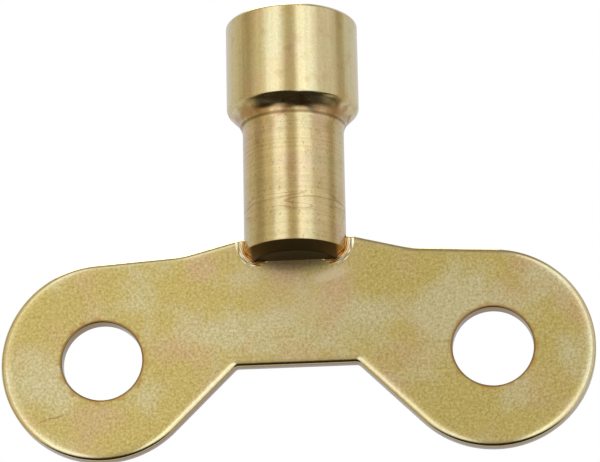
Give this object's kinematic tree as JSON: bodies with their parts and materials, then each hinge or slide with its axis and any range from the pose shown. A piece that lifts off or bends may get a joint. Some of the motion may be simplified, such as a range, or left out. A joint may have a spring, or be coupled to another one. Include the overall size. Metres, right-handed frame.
{
  "type": "radiator bleed key",
  "caption": "Brass key with a square socket in a stepped round barrel, brazed across a flat two-winged handle with a round hole in each wing.",
  "frame": {"origin": "centre of the square socket's mouth, on the barrel's axis and in the plane of its end face", "axes": "+Z along the socket's axis, out of its mouth; +X across the two wings; +Y from the handle's rolled front face to its flat rear face"},
  "size_m": [0.056, 0.0126, 0.0428],
  "materials": {
    "turned_brass": "turned and passivated, streaked along the bar, satin with bright bands",
    "pressed_brass": "blanked sheet, tumbled satin, olive-gold passivation with faint pink and green tints",
    "braze_filler": "brazing filler, smooth as it froze, slightly tarnished"
  },
  "bodies": {
    "root": {"socket_barrel": "turned_brass", "wing_plate": "pressed_brass", "braze_joint": "braze_filler"}
  },
  "joints": []
}
